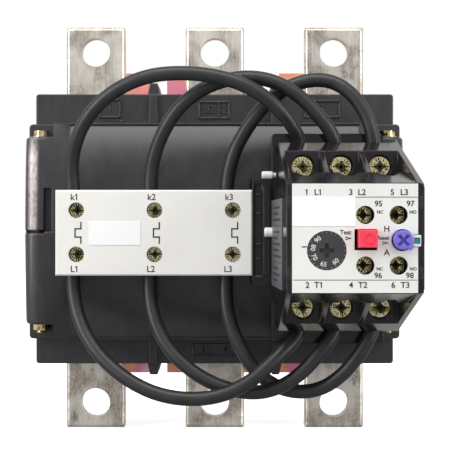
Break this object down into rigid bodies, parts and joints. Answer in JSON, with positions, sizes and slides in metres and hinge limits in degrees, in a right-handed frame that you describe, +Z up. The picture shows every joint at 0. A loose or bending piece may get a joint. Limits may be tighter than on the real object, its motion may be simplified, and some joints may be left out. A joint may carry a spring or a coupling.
{
  "type": "thermal overload relay",
  "caption": "Bimetal overload relay wired to a three-phase current transformer block with through busbars on a slotted zinc-plated base plate.",
  "frame": {"origin": "centre of the block on the back face of the base plate, the panel's surface", "axes": "+Z up along the busbars, +X to the right seen from the front, -Y out of the panel to the front"},
  "size_m": [0.1486, 0.1562, 0.168],
  "materials": {
    "zinc_plate": "yellow-passivated zinc on sheet steel",
    "zinc_screw": "yellow-passivated zinc on steel",
    "housing_plastic": "moulded dark grey, semi-gloss",
    "tinned_bar": "tinned copper, drawn and scratched",
    "core_steel": "wound silicon-steel strip",
    "coil_tape": "taped enamelled copper winding",
    "terminal_plastic": "moulded black",
    "cream_label": "white marked plate",
    "paper_label": "white write-on label",
    "clamp_steel": "zinc-plated steel",
    "relay_plastic": "moulded black, glossy",
    "nylon": "natural nylon",
    "face_grey": "printed grey film",
    "copper": "bare copper strip",
    "bimetal": "rolled bimetal",
    "heater": "resistance tape on insulation",
    "slider_plastic": "natural phenolic",
    "pin_steel": "bright steel",
    "contact_metal": "brass with silver tips",
    "spring_steel": "spring steel wire",
    "dial_grey": "moulded dark grey",
    "test_red": "moulded red",
    "reset_blue": "moulded blue",
    "flag_green": "moulded green",
    "lead_pvc": "satin black PVC sleeve"
  },
  "bodies": {
    "frame": {"adapter_spacer": "relay_plastic", "aux_terminal_clamps": "clamp_steel", "aux_terminal_screws": "zinc_screw", "base_plate": "zinc_plate", "bimetal_strips": "bimetal", "blank_label": "paper_label", "busbar_l1": "tinned_bar", "busbar_l2": "tinned_bar", "busbar_l3": "tinned_bar", "carrier_spring": "spring_steel", "contact_base": "relay_plastic", "ct_cores": "core_steel", "ct_terminal_clamps": "clamp_steel", "ct_terminal_screws": "zinc_screw", "ct_winding_l1": "coil_tape", "ct_winding_l2": "coil_tape", "ct_winding_l3": "coil_tape", "face_label": "paper_label", "face_plate": "cream_label", "fixed_contacts": "contact_metal", "flag_window": "nylon", "heater_windings": "heater", "housing_bolts": "zinc_screw", "housing_lower": "housing_plastic", "housing_nuts": "zinc_screw", "housing_upper": "housing_plastic", "lead_ferrules": "clamp_steel", "lead_k1": "lead_pvc", "lead_k2": "lead_pvc", "lead_k3": "lead_pvc", "lead_l1": "lead_pvc", "lead_l2": "lead_pvc", "lead_l3": "lead_pvc", "lever_pin": "pin_steel", "main_terminal_clamps": "clamp_steel", "main_terminal_screws": "zinc_screw", "mechanism_plate": "relay_plastic", "nylon_plugs": "nylon", "phase_conductors": "copper", "plate_screws": "zinc_screw", "relay_adapter": "relay_plastic", "relay_case": "relay_plastic", "relay_cover": "relay_plastic", "relay_screws": "zinc_screw", "reset_spring": "spring_steel", "seat_screws": "zinc_screw", "side_label": "face_grey", "terminal_block": "terminal_plastic", "terminal_plate": "cream_label", "test_spring": "spring_steel"},
    "test": {"test_button": "test_red"},
    "reset": {"reset_plunger": "slider_plastic"},
    "knob": {"reset_knob": "reset_blue"},
    "dial": {"setting_dial": "dial_grey", "dial_cam": "slider_plastic"},
    "slider": {"trip_slider": "slider_plastic"},
    "lever": {"trip_lever": "slider_plastic"},
    "carrier": {"contact_carrier": "slider_plastic", "contact_bridges": "contact_metal"},
    "flag": {"trip_flag": "flag_green"}
  },
  "joints": [
    {"name": "test_press", "type": "slide", "parent": "frame", "child": "test", "axis": [0, 1, 0], "range_m": [0, 0.0025], "stiffness_N_per_m": 400, "springref_m": -0.001, "deforming": ["test_spring"]},
    {"name": "reset_press", "type": "slide", "parent": "frame", "child": "reset", "axis": [0, 1, 0], "range_m": [0, 0.0025], "stiffness_N_per_m": 400, "springref_m": -0.001, "deforming": ["reset_spring"]},
    {"name": "reset_mode", "type": "hinge", "parent": "reset", "child": "knob", "pos_m": [0.0617, -0.15, -0.0041], "axis": [0, 1, 0], "range_deg": [0, 90]},
    {"name": "dial_turn", "type": "hinge", "parent": "frame", "child": "dial", "pos_m": [0.0371, -0.15, -0.0075], "axis": [0, 1, 0], "range_deg": [-110, 110]},
    {"name": "slider_travel", "type": "slide", "parent": "frame", "child": "slider", "axis": [1, 0, 0], "range_m": [0, 0.002]},
    {"name": "lever_tilt", "type": "hinge", "parent": "frame", "child": "lever", "pos_m": [0.0606, -0.102, -0.0035], "axis": [0, -1, 0], "range_deg": [0, 7.91]},
    {"name": "contact_travel", "type": "slide", "parent": "frame", "child": "carrier", "axis": [0, -1, 0], "range_m": [0, 0.0015], "deforming": ["carrier_spring"]},
    {"name": "flag_travel", "type": "slide", "parent": "frame", "child": "flag", "axis": [0, -1, 0], "range_m": [0, 0.0015]}
  ],
  "couplings": [
    {"joint": "lever_tilt", "follows": "slider_travel", "rad_per_m": 69},
    {"joint": "flag_travel", "follows": "contact_travel", "ratio": 1}
  ]
}
